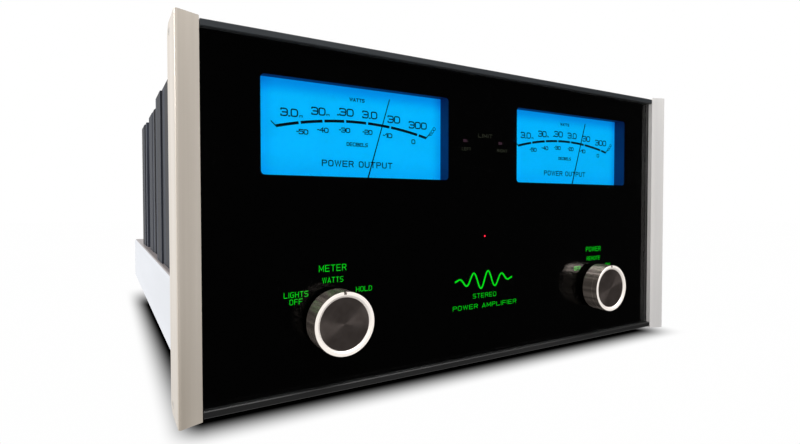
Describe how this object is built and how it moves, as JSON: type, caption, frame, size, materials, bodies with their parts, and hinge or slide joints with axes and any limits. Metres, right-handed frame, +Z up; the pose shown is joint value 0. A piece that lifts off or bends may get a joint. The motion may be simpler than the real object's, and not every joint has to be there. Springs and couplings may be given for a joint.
{
  "type": "power amplifier",
  "caption": "Stereo power amplifier: black glass front with lit blue pointer meters and turning knobs, aluminium end caps, steel chassis, side heat sinks, rear connectors.",
  "frame": {"origin": "middle of the bounding box on the plane the feet stand on", "axes": "+X right seen from the front, +Y from the front panel to the rear connectors, +Z up"},
  "size_m": [0.4444, 0.515, 0.24],
  "materials": {
    "satin_aluminium": "fine brushed, clear anodised",
    "black_anodised": "satin black anodised",
    "front_glass": "polished clear glass",
    "mask_paint": "black screen-printed backing",
    "black_steel": "fine textured black powder coat",
    "can_paint": "gloss black",
    "polished_steel": "polished stainless steel",
    "foot_rubber": "matt moulded rubber",
    "bright_steel": "zinc plated",
    "sink_anodised": "satin black anodised aluminium",
    "knob_metal": "turned and polished",
    "knob_insert_black": "spun, black anodised",
    "meter_case_plastic": "matt moulded",
    "meter_dial_lit": "printed, lit from behind",
    "needle_black": "matt black",
    "movement_metal": "cast",
    "switch_plastic": "moulded phenolic",
    "light_guide_acrylic": "clear acrylic lit green",
    "indicator_red": "tinted lens",
    "circuit_board": "solder mask",
    "component_black": "moulded epoxy",
    "capacitor_sleeve": "shrink sleeve",
    "core_iron": "varnished laminations",
    "connector_black": "moulded",
    "lever_white": "moulded",
    "contact_gold": "gold plated",
    "post_cap_black": "moulded, fluted",
    "post_cap_red": "moulded, fluted"
  },
  "bodies": {
    "amplifier": {"ac_inlet": "connector_black", "ac_inlet_pins": "contact_gold", "autoformer_cans": "can_paint", "autoformers": "core_iron", "bottom_pan": "black_steel", "bottom_trim": "black_anodised", "case_screws": "bright_steel", "chassis": "polished_steel", "control_jacks": "connector_black", "driver_boards": "circuit_board", "filter_capacitors": "capacitor_sleeve", "foot_bolts": "bright_steel", "front_glass": "front_glass", "front_subpanel": "black_steel", "fuse_holder": "connector_black", "glass_mask": "mask_paint", "indicator_lights": "indicator_red", "input_board": "circuit_board", "left_end_cap": "satin_aluminium", "left_heat_sink": "sink_anodised", "left_meter_case": "meter_case_plastic", "left_meter_dial": "meter_dial_lit", "legend_light_guide": "light_guide_acrylic", "meter_movements": "movement_metal", "mode_switch": "connector_black", "output_post_collars": "connector_black", "output_post_studs": "contact_gold", "output_transistors": "component_black", "power_supply_board": "circuit_board", "power_transformer": "core_iron", "power_transformer_can": "can_paint", "rca_jacks": "contact_gold", "rear_panel": "polished_steel", "right_end_cap": "satin_aluminium", "right_heat_sink": "sink_anodised", "right_meter_case": "meter_case_plastic", "right_meter_dial": "meter_dial_lit", "rotary_switches": "switch_plastic", "rubber_feet": "foot_rubber", "top_cover": "black_steel", "top_trim": "black_anodised", "xlr_jacks": "connector_black"},
    "meter_selector": {"meter_knob": "knob_metal", "meter_knob_insert": "knob_insert_black", "meter_knob_shaft": "bright_steel"},
    "power_selector": {"power_knob": "knob_metal", "power_knob_insert": "knob_insert_black", "power_knob_shaft": "bright_steel"},
    "left_pointer": {"left_meter_needle": "needle_black"},
    "right_pointer": {"right_meter_needle": "needle_black"},
    "fuse_carrier": {"fuse_cap": "connector_black"},
    "mode_slider": {"mode_switch_lever": "lever_white"},
    "left_common_cap": {"left_common_post_cap": "post_cap_black"},
    "left_two_ohm_cap": {"left_two_ohm_post_cap": "post_cap_red"},
    "left_four_ohm_cap": {"left_four_ohm_post_cap": "post_cap_red"},
    "left_eight_ohm_cap": {"left_eight_ohm_post_cap": "post_cap_red"},
    "right_common_cap": {"right_common_post_cap": "post_cap_black"},
    "right_two_ohm_cap": {"right_two_ohm_post_cap": "post_cap_red"},
    "right_four_ohm_cap": {"right_four_ohm_post_cap": "post_cap_red"},
    "right_eight_ohm_cap": {"right_eight_ohm_post_cap": "post_cap_red"}
  },
  "joints": [
    {"name": "meter_knob_turn", "type": "hinge", "parent": "amplifier", "child": "meter_selector", "pos_m": [-0.1282, -0.2469, 0.0607], "axis": [0, 1, 0], "range_deg": [-45, 45]},
    {"name": "power_knob_turn", "type": "hinge", "parent": "amplifier", "child": "power_selector", "pos_m": [0.1282, -0.2469, 0.0607], "axis": [0, 1, 0], "range_deg": [-45, 45]},
    {"name": "left_pointer_swing", "type": "hinge", "parent": "amplifier", "child": "left_pointer", "pos_m": [-0.1041, -0.2269, 0.13005], "axis": [0, 1, 0], "range_deg": [-64, 30], "stiffness_Nm_per_rad": 0.002},
    {"name": "right_pointer_swing", "type": "hinge", "parent": "amplifier", "child": "right_pointer", "pos_m": [0.1041, -0.2269, 0.13005], "axis": [0, 1, 0], "range_deg": [-64, 30], "stiffness_Nm_per_rad": 0.002},
    {"name": "left_common_cap_turn", "type": "hinge", "parent": "amplifier", "child": "left_common_cap", "pos_m": [-0.128, 0.2481, 0.0625], "axis": [0, 1, 0], "range_deg": [0, 720]},
    {"name": "left_two_ohm_cap_turn", "type": "hinge", "parent": "amplifier", "child": "left_two_ohm_cap", "pos_m": [-0.148, 0.2481, 0.0625], "axis": [0, 1, 0], "range_deg": [0, 720]},
    {"name": "left_four_ohm_cap_turn", "type": "hinge", "parent": "amplifier", "child": "left_four_ohm_cap", "pos_m": [-0.168, 0.2481, 0.0625], "axis": [0, 1, 0], "range_deg": [0, 720]},
    {"name": "left_eight_ohm_cap_turn", "type": "hinge", "parent": "amplifier", "child": "left_eight_ohm_cap", "pos_m": [-0.188, 0.2481, 0.0625], "axis": [0, 1, 0], "range_deg": [0, 720]},
    {"name": "right_common_cap_turn", "type": "hinge", "parent": "amplifier", "child": "right_common_cap", "pos_m": [0.128, 0.2481, 0.0625], "axis": [0, 1, 0], "range_deg": [0, 720]},
    {"name": "right_two_ohm_cap_turn", "type": "hinge", "parent": "amplifier", "child": "right_two_ohm_cap", "pos_m": [0.148, 0.2481, 0.0625], "axis": [0, 1, 0], "range_deg": [0, 720]},
    {"name": "right_four_ohm_cap_turn", "type": "hinge", "parent": "amplifier", "child": "right_four_ohm_cap", "pos_m": [0.168, 0.2481, 0.0625], "axis": [0, 1, 0], "range_deg": [0, 720]},
    {"name": "right_eight_ohm_cap_turn", "type": "hinge", "parent": "amplifier", "child": "right_eight_ohm_cap", "pos_m": [0.188, 0.2481, 0.0625], "axis": [0, 1, 0], "range_deg": [0, 720]},
    {"name": "fuse_cap_turn", "type": "hinge", "parent": "amplifier", "child": "fuse_carrier", "pos_m": [0.093, 0.2411, 0.0625], "axis": [0, 1, 0], "range_deg": [0, 60]},
    {"name": "mode_lever_slide", "type": "slide", "parent": "amplifier", "child": "mode_slider", "axis": [1, 0, 0], "range_m": [0, 0.004]}
  ]
}
